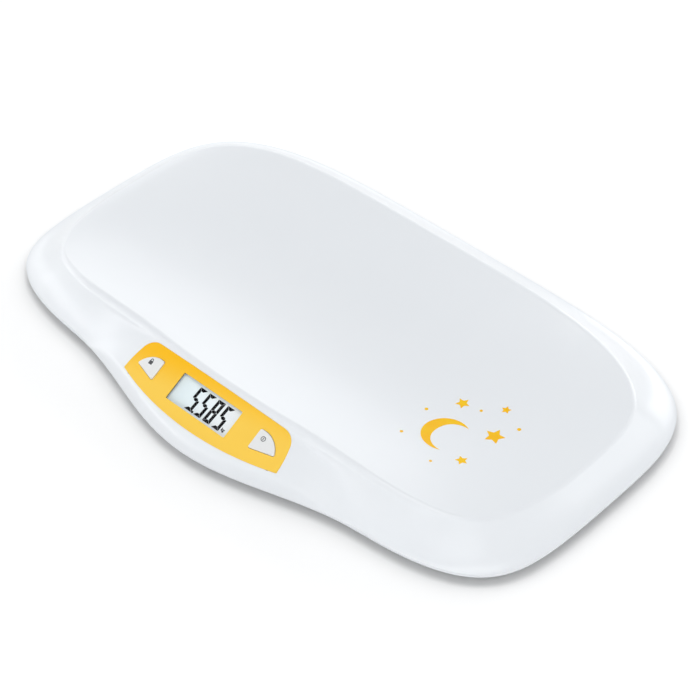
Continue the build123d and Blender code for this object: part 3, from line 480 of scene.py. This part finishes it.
def cell_jacket(name, way):
    """A dry cell: dark jacket, a copper band round its plus end, bare metal ends."""
    made, tree, shader = finish(name, Coat_Weight=0.3, Coat_Roughness=0.12)
    place = add(tree, "ShaderNodeSeparateXYZ")
    wire(tree, own_place(tree), place.inputs["Vector"])
    along = math(tree, "MULTIPLY", place.outputs["X"], float(way))
    band = spread(tree, along, 12.6 * MM, 12.9 * MM)
    body = use(tree, MOULDED, Colour=(0.02, 0.028, 0.034, 1), Shade=(0.03, 0.036, 0.042, 1),
               Gloss=0.26, Dull=0.34)
    tone = blend_colour(tree, band, body["Colour"], (0.62, 0.30, 0.12))
    plus_end = spread(tree, along, 21.3 * MM, 21.4 * MM)
    minus_end = spread(tree, along, -21.4 * MM, -21.3 * MM, 1.0, 0.0)
    bare = math(tree, "MAXIMUM", plus_end, minus_end)
    tone = blend_colour(tree, bare, tone, (0.62, 0.62, 0.60))
    wire(tree, tone, shader.inputs["Base Color"])
    wire(tree, math(tree, "MAXIMUM", bare, math(tree, "MULTIPLY", band, 0.85)), shader.inputs["Metallic"])
    wire(tree, body["Roughness"], shader.inputs["Roughness"])
    raise_skin(tree, shader, body["Skin"], 0.08, 0.02 * MM)
    return made


def chip_black():
    made, tree, shader = finish("chip_black")
    flecks = use(tree, SPECKS, Scale=1600.0, Size=0.4)["Mask"]
    body = use(tree, MOULDED, Colour=(0.016, 0.016, 0.018, 1), Shade=(0.026, 0.026, 0.028, 1),
               Gloss=0.42, Dull=0.58)
    tone = blend_colour(tree, math(tree, "MULTIPLY", flecks, 0.25), body["Colour"], (0.06, 0.06, 0.065))
    wire(tree, tone, shader.inputs["Base Color"])
    wire(tree, body["Roughness"], shader.inputs["Roughness"])
    raise_skin(tree, shader, body["Skin"], 0.3, 0.03 * MM)
    return made


def lead_vinyl():
    """Soft vinyl insulation with a slightly oily gloss and a slow twist of tone."""
    made, tree, shader = finish("lead_vinyl", Coat_Weight=0.2, Coat_Roughness=0.25)
    body = use(tree, MOULDED, Colour=(0.42, 0.03, 0.025, 1), Shade=(0.33, 0.02, 0.02, 1), Patch=55.0,
               Grain=800.0, Gloss=0.36, Dull=0.48)
    wire(tree, body["Colour"], shader.inputs["Base Color"])
    wire(tree, body["Roughness"], shader.inputs["Roughness"])
    raise_skin(tree, shader, body["Skin"], 0.2, 0.03 * MM)
    return made


WHITE_SHELL = moulded_plastic("white_shell", (0.865, 0.893, 0.925), (0.857, 0.886, 0.919), 0.27, 0.33,
                              grain=900.0, bite=0.04, lines=0.003, Coat_Weight=0.2, Coat_Roughness=0.1)
# painted shade on the walls of the display and key openings
paint_shade_on_openings(WHITE_SHELL)
FINISHES = {
    "housing_white": WHITE_SHELL,
    "base_white": moulded_plastic("base_white", (0.74, 0.755, 0.77), (0.715, 0.735, 0.755), 0.45, 0.56,
                                  grain=1300.0, bite=0.35),
    "panel_yellow": overlay_film(),
    "window_clear": clear_window(),
    "lcd": display_glass(),
    "frame_dark": chip_black(),
    "strip_rubber": striped_rubber(),
    "board_green": circuit_board_green(),
    "key_white": moulded_plastic("key_white", (0.86, 0.865, 0.86), (0.84, 0.85, 0.85), 0.32, 0.4,
                                 grain=2200.0, bite=0.12, lines=0.08),
    "plunger_white": moulded_plastic("plunger_white", (0.76, 0.72, 0.62), (0.72, 0.68, 0.58), 0.4, 0.5,
                                     grain=1800.0, bite=0.2),
    "screw_steel": metal("screw_zinc", (0.62, 0.64, 0.66), (0.50, 0.51, 0.50), 0.2, 0.38, 1500.0),
    "contact_nickel": metal("contact_nickel", (0.72, 0.70, 0.66), (0.60, 0.58, 0.53), 0.16, 0.3,
                            1200.0, 0.15),
    "foot_rubber": rubber("foot_rubber", (0.30, 0.31, 0.32), (0.42, 0.43, 0.44), 900.0),
    "foot_white": moulded_plastic("foot_white", (0.76, 0.77, 0.78), (0.73, 0.745, 0.76), 0.4, 0.5,
                                  grain=1400.0, bite=0.3),
    "cell_steel": metal("cell_steel", (0.60, 0.61, 0.62), (0.47, 0.48, 0.49), 0.24, 0.42, 700.0, 0.3),
    "clamp_steel": metal("clamp_steel", (0.56, 0.57, 0.58), (0.42, 0.43, 0.44), 0.3, 0.5, 500.0, 0.35),
    "gauge_resin": moulded_plastic("gauge_resin", (0.82, 0.80, 0.74), (0.74, 0.72, 0.66), 0.25, 0.5,
                                   grain=500.0, bite=0.6),
    "lead_jacket": lead_vinyl(),
}
JACKETS = {-1: cell_jacket("cell_jacket_left", -1), 1: cell_jacket("cell_jacket_right", 1)}


def dress_nodes():
    for name, node in nodes.items():
        for place in node.material_slots:
            slot = place.material.name.split(".")[0]
            if slot == "cell_jacket":
                low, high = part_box(name)
                place.material = JACKETS[1 if low.x + high.x > 0 else -1]
            else:
                place.material = FINISHES[slot]


dress_nodes()


# ------------------------------------------------------------- making of pieces
def piece(name, mesh, material, body):
    """Turns a finished bmesh into a piece that rides on a body."""
    data = bpy.data.meshes.new(name)
    mesh.to_mesh(data)
    mesh.free()
    data.materials.append(material)
    made = bpy.data.objects.new(name, data)
    scene.collection.objects.link(made)
    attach(made, body)
    return made


def thicken(mesh, direction, depth):
    """Gives flat faces a thickness, downwards along -direction."""
    found = bmesh.ops.extrude_face_region(mesh, geom=mesh.faces[:], use_keep_orig=True)
    sunk = [part for part in found["geom"] if isinstance(part, bmesh.types.BMVert)]
    bmesh.ops.translate(mesh, verts=sunk, vec=-direction * depth)
    bmesh.ops.recalc_face_normals(mesh, faces=mesh.faces[:])


def fine_faces(mesh, longest):
    """Divides a flat outline until no edge is longer than given."""
    for _ in range(7):
        bmesh.ops.triangulate(mesh, faces=mesh.faces[:])
        long_edges = [edge for edge in mesh.edges if edge.calc_length() > longest]
        if not long_edges:
            break
        bmesh.ops.subdivide_edges(mesh, edges=long_edges, cuts=1)
    bmesh.ops.triangulate(mesh, faces=mesh.faces[:])


DROP_HEIGHT = 0.06


def lay_on(mesh, node, direction, proud):
    """Drops every point of a flat shape onto a node's surface, along -direction."""
    data = nodes[node].data
    tree = BVHTree.FromPolygons([v.co for v in data.vertices], [p.vertices for p in data.polygons])
    for vert in mesh.verts:
        hit = tree.ray_cast(vert.co + direction * DROP_HEIGHT, -direction)[0]
        if hit is not None:
            vert.co = hit + direction * proud


# ------------------------------------------------------- the display's reading
DIGIT_HALF_W = 3.75
DIGIT_HALF_H = 10.15
SEGMENT_W = 2.65
SEGMENT_GAP = 0.12
DIGIT_SLANT = 0.07
DIGIT_PITCH = 9.93
FIRST_DIGIT = -10.2
SEGMENT_ROUND = 0.28
POINT_RADIUS = 1.05
POINT_PLACE = (-6.15, -9.45, 0)
UNIT_SIZE = 3.6
UNIT_PLACE = (23.9, -8.4, 0)
UNIT_WEIGHT = 0.14
INK_LIFT = 0.06 * MM
INK_DEPTH = 0.04 * MM


def segment(mesh, corners, middle):
    """One bar of a digit, from its corners."""
    verts = [mesh.verts.new((x + middle + DIGIT_SLANT * y, y, 0)) for x, y in corners]
    face = mesh.faces.new(verts)
    bmesh.ops.bevel(mesh, geom=list(face.verts), offset=SEGMENT_ROUND, offset_type="OFFSET", segments=2,
                    profile=0.5, affect="VERTICES", material=-1)


def digit(mesh, bars, middle):
    """A seven-bar digit: bars names those that show, of a top, b and c right, d bottom,
    e and f left, g middle."""
    w, h, t, g = DIGIT_HALF_W, DIGIT_HALF_H, SEGMENT_W, SEGMENT_GAP
    top = [(-w + g, h), (-w + t + g, h - t), (w - t - g, h - t), (w - g, h)]
    side = [(-w, h - g), (-w, g), (-w + t / 2, g), (-w + t, t / 2 + g), (-w + t, h - t - g)]
    across = [(-w + t / 2 + g, 0), (-w + t + g, -t / 2), (w - t - g, -t / 2),
              (w - t / 2 - g, 0), (w - t - g, t / 2), (-w + t + g, t / 2)]
    shapes = {"a": top, "d": [(x, -y) for x, y in top], "f": side, "b": [(-x, y) for x, y in side],
              "e": [(x, -y) for x, y in side], "c": [(-x, -y) for x, y in side], "g": across}
    for bar in bars:
        segment(mesh, shapes[bar], middle)


def glass_level():
    """How far the display glass lies below the panel's plane."""
    back = PANEL.inverted()
    return max((back @ vert.co).z for vert in nodes["lcd_glass"].data.vertices)


def make_reading():
    mesh = bmesh.new()
    for place, bars in enumerate(("afgcd", "afgcd", "abcdefg", "afgcd")):
        digit(mesh, bars, FIRST_DIGIT + DIGIT_PITCH * place)
    point = bmesh.ops.create_circle(mesh, cap_ends=True, segments=16, radius=POINT_RADIUS)["verts"]
    bmesh.ops.translate(mesh, verts=point, vec=POINT_PLACE)
    finish_reading(mesh, "display_reading")


def finish_reading(mesh, name):
    bmesh.ops.scale(mesh, vec=(MM, MM, MM), verts=mesh.verts[:])
    level = glass_level()
    bmesh.ops.translate(mesh, verts=mesh.verts[:], vec=(0, 0, level + INK_LIFT))
    thicken(mesh, Vector((0, 0, 1)), INK_DEPTH)
    bmesh.ops.transform(mesh, matrix=PANEL, verts=mesh.verts[:])
    piece(name, mesh, INK, "housing")


def make_unit():
    """The small kg beside the reading, as text made a mesh."""
    text = bpy.data.curves.new("unit", "FONT")
    text.body = "kg"
    text.size = UNIT_SIZE
    text.shear = 0.1
    text.offset = UNIT_WEIGHT
    holder = bpy.data.objects.new("unit", text)
    scene.collection.objects.link(holder)
    data = bpy.data.meshes.new_from_object(holder.evaluated_get(bpy.context.evaluated_depsgraph_get()))
    bpy.data.objects.remove(holder)
    mesh = bmesh.new()
    mesh.from_mesh(data)
    bmesh.ops.translate(mesh, verts=mesh.verts[:], vec=UNIT_PLACE)
    finish_reading(mesh, "display_unit")


INK = display_ink()
make_reading()
make_unit()

# ------------------------------------------------------------ marks on the keys
KEY_INK = key_ink()
LOCK_PLACE = (-64.0, 4.7)
POWER_PLACE = (59.7, 4.4)
KEY_INK_LIFT = 0.05 * MM


def arc_band(mesh, inner, outer, start, end, middle, steps=20):
    """A flat band along an arc, made by turning a short edge round a middle."""
    first = [mesh.verts.new((middle[0] + reach * cos(start), middle[1] + reach * sin(start), 0))
             for reach in (inner, outer)]
    edge = mesh.edges.new(first)
    full = abs(end - start) > 2 * pi - 0.01
    bmesh.ops.spin(mesh, geom=first + [edge], cent=(*middle, 0), axis=(0, 0, 1), angle=end - start,
                   steps=steps, use_merge=full)


def flat_bar(mesh, x0, x1, y0, y1, round_off=0.0):
    made = bmesh.ops.create_grid(mesh, x_segments=1, y_segments=1, size=0.5)["verts"]
    bmesh.ops.scale(mesh, vec=(x1 - x0, y1 - y0, 1), verts=made)
    bmesh.ops.translate(mesh, vec=((x0 + x1) / 2, (y0 + y1) / 2, 0), verts=made)
    if round_off:
        bmesh.ops.bevel(mesh, geom=made, offset=round_off, offset_type="OFFSET", segments=3,
                        profile=0.5, affect="VERTICES", material=-1)


def print_on_key(mesh, name, place, node, body):
    bmesh.ops.remove_doubles(mesh, verts=mesh.verts[:], dist=1e-5)
    bmesh.ops.translate(mesh, verts=mesh.verts[:], vec=(*place, 0))
    bmesh.ops.scale(mesh, vec=(MM, MM, MM), verts=mesh.verts[:])
    fine_faces(mesh, 0.6 * MM)
    bmesh.ops.transform(mesh, matrix=PANEL, verts=mesh.verts[:])
    lay_on(mesh, node, PANEL_OUT, KEY_INK_LIFT)
    thicken(mesh, PANEL_OUT, INK_DEPTH)
    piece(name, mesh, KEY_INK, body)


def make_lock_mark():
    mesh = bmesh.new()
    flat_bar(mesh, -1.9, 1.9, -2.6, 0.5, 0.3)
    arc_band(mesh, 0.75, 1.4, 0.0, pi, (0, 1.1), 12)
    for x in (-1.4, 0.75):
        flat_bar(mesh, x, x + 0.65, 0.45, 1.12)
    print_on_key(mesh, "hold_mark", LOCK_PLACE, "hold_button", "hold_key")


def make_power_mark():
    mesh = bmesh.new()
    arc_band(mesh, 1.5, 2.05, 0.0, 2 * pi, (0, 0), 36)
    flat_bar(mesh, -0.3, 0.3, -1.0, 1.0)
    print_on_key(mesh, "tare_mark", POWER_PLACE, "tare_button", "tare_key")


make_lock_mark()
make_power_mark()

# ----------------------------------------------------------- print on the tray
# in millimetres from the middle of the object: x, y, radius and, for stars, a turn in radians
TRAY_INK = tray_ink()
TRAY_INK_LIFT = 0.08 * MM
TRAY_INK_DEPTH = 0.06 * MM
MOON = (150.0, -30.0, 19.0)
STARS = ((178.0, -6.0, 8.5, 0.2), (136.0, 6.0, 6.0, -0.15), (166.0, 22.0, 4.2, 0.35),
         (178.0, -44.0, 5.2, -0.3))
DOTS = ((120.0, -18.0, 1.5), (152.0, 9.0, 1.3), (187.0, 12.0, 1.6), (125.0, -52.0, 1.4),
        (163.0, -62.0, 1.2))


def add_moon(mesh, x, y, radius):
    """A crescent: a strip bent round an arc, thick in the middle and pointed at its ends."""
    made = bmesh.ops.create_grid(mesh, x_segments=32, y_segments=4, size=1.0)["verts"]
    for vert in made:
        turn = vert.co.x * radians(118)
        depth = (1 - vert.co.y) / 2 * 0.52 * cos(vert.co.x * pi / 2)
        reach = radius * (1 - depth)
        vert.co = Vector((x - reach * cos(turn), y + reach * sin(turn), 0))
    bmesh.ops.remove_doubles(mesh, verts=made, dist=0.01)


def add_star(mesh, x, y, radius, turn):
    made = bmesh.ops.create_circle(mesh, cap_ends=True, segments=10, radius=radius)["verts"]
    bmesh.ops.scale(mesh, vec=(0.5, 0.5, 1), verts=made[1::2])
    bmesh.ops.rotate(mesh, matrix=Matrix.Rotation(turn, 3, "Z"), verts=made)
    bmesh.ops.translate(mesh, vec=(x, y, 0), verts=made)
    bmesh.ops.bevel(mesh, geom=made, offset=radius * 0.07, offset_type="OFFSET", segments=3,
                    profile=0.5, affect="VERTICES", material=-1)


def make_tray_print():
    mesh = bmesh.new()
    add_moon(mesh, *MOON)
    for star in STARS:
        add_star(mesh, *star)
    for x, y, radius in DOTS:
        dot = bmesh.ops.create_circle(mesh, cap_ends=True, segments=20, radius=radius)["verts"]
        bmesh.ops.translate(mesh, vec=(x, y, 0), verts=dot)
    bmesh.ops.scale(mesh, vec=(MM, MM, MM), verts=mesh.verts[:])
    fine_faces(mesh, 2.0 * MM)
    up = Vector((0, 0, 1))
    lay_on(mesh, "top_shell", up, TRAY_INK_LIFT)
    thicken(mesh, up, TRAY_INK_DEPTH)
    piece("tray_print", mesh, TRAY_INK, "housing")


make_tray_print()


# ------------------------------------------------------------------- the studio
def lamp(name, place, aim, size, power, tint=(1, 1, 1)):
    light = bpy.data.lights.new(name, "AREA")
    light.shape = "RECTANGLE"
    light.size, light.size_y = size
    light.energy = power
    light.color = tint
    holder = bpy.data.objects.new(name, light)
    holder.location = place
    holder.rotation_euler = (Vector(aim) - Vector(place)).to_track_quat("-Z", "Y").to_euler()
    scene.collection.objects.link(holder)


def seen_directly(tree):
    """1 for rays from the camera, or seen in gloss or through the window."""
    rays = add(tree, "ShaderNodeLightPath").outputs
    gloss = math(tree, "MAXIMUM", rays["Is Glossy Ray"], rays["Is Transmission Ray"])
    return math(tree, "MAXIMUM", rays["Is Camera Ray"], gloss)


def make_floor():
    """A pale floor: white where it is lit and seen, with the soft shadow kept, and a contact shadow painted
    darker round the object from ambient occlusion.
    """
    mesh = bmesh.new()
    bmesh.ops.create_grid(mesh, x_segments=1, y_segments=1, size=4.0)
    data = bpy.data.meshes.new("floor")
    mesh.to_mesh(data)
    mesh.free()
    floor = bpy.data.objects.new("floor", data)
    scene.collection.objects.link(floor)
    made = bpy.data.materials.new("studio_floor")
    made.use_nodes = True
    tree = made.node_tree
    tree.nodes.remove(tree.nodes["Principled BSDF"])
    paint = add(tree, "ShaderNodeBsdfDiffuse")
    paint.inputs["Color"].default_value = (FLOOR_PAINT, FLOOR_PAINT, FLOOR_PAINT, 1)
    shown = add(tree, "ShaderNodeBsdfDiffuse")
    # painted shadow: ambient occlusion darkens the floor as seen round the object, on top of the shadow its
    # lamps cast
    near = add(tree, "ShaderNodeAmbientOcclusion", samples=16)
    near.inputs["Distance"].default_value = CONTACT_REACH
    tone = spread(tree, near.outputs["AO"], CONTACT_DARK, CONTACT_FREE, CONTACT_PAINTED_SHADOW, FLOOR_SHOWN, False)
    grey = add(tree, "ShaderNodeCombineColor")
    for channel in grey.inputs:
        wire(tree, tone, channel)
    wire(tree, grey.outputs["Color"], shown.inputs["Color"])
    mix = add(tree, "ShaderNodeMixShader")
    wire(tree, seen_directly(tree), mix.inputs["Fac"])
    wire(tree, paint.outputs["BSDF"], mix.inputs[1])
    wire(tree, shown.outputs["BSDF"], mix.inputs[2])
    wire(tree, mix.outputs["Shader"], tree.nodes["Material Output"].inputs["Surface"])
    data.materials.append(made)


def make_world():
    world = bpy.data.worlds.new("studio")
    scene.world = world
    world.use_nodes = True
    tree = world.node_tree
    soft = tree.nodes["Background"]
    soft.inputs["Color"].default_value = (0.97, 0.985, 1.0, 1)
    soft.inputs["Strength"].default_value = WORLD_LIGHT
    white = add(tree, "ShaderNodeBackground")
    white.inputs["Color"].default_value = (1, 1, 1, 1)
    mix = add(tree, "ShaderNodeMixShader")
    wire(tree, seen_directly(tree), mix.inputs["Fac"])
    wire(tree, soft.outputs["Background"], mix.inputs[1])
    wire(tree, white.outputs["Background"], mix.inputs[2])
    wire(tree, mix.outputs["Shader"], tree.nodes["World Output"].inputs["Surface"])


WORLD_LIGHT = 0.25
FLOOR_PAINT = 0.85
FLOOR_SHOWN = 1.18
# the painted contact shadow: how far its occlusion reaches, the occlusion values where it is darkest and
# where it ends, and the floor tone it paints at its darkest
CONTACT_REACH = 0.04
CONTACT_DARK = 0.5
CONTACT_FREE = 0.9
CONTACT_PAINTED_SHADOW = 0.82
BOX_SIZE = (1.2, 0.9)
BOX_REACH = 1.8
CARD_SIZE = (1.6, 0.3)
CARD_REACH = 1.3
CARD_LEVEL = 8


def around(azimuth, elevation, reach):
    """A place round the object: azimuth 0 is in front of it and 90 at its right."""
    a, e = radians(azimuth), radians(elevation)
    return (reach * sin(a) * cos(e), -reach * cos(a) * cos(e), reach * sin(e))


make_floor()
make_world()
# softboxes as azimuth, elevation and watts: one overhead, a ring of high ones and a ring of low ones
BOXES = ((0, 90, 9.1), (0, 48, 0.8), (45, 48, 4.0), (315, 48, 1.8), (0, 18, 1.0), (135, 18, 5.4),
         (180, 18, 9.0), (225, 18, 3.8), (270, 18, 4.4), (315, 18, 2.0))
for number, (azimuth, elevation, power) in enumerate(BOXES):
    lamp("softbox_%d" % number, around(azimuth, elevation, BOX_REACH), (0, 0, 0), BOX_SIZE, power)
# long low cards that light the skirt
for number, (azimuth, power) in enumerate(((45, 3.6), (90, 1.0), (315, 2.2))):
    lamp("card_%d" % number, around(azimuth, CARD_LEVEL, CARD_REACH), (0, 0, 0.02), CARD_SIZE, power)
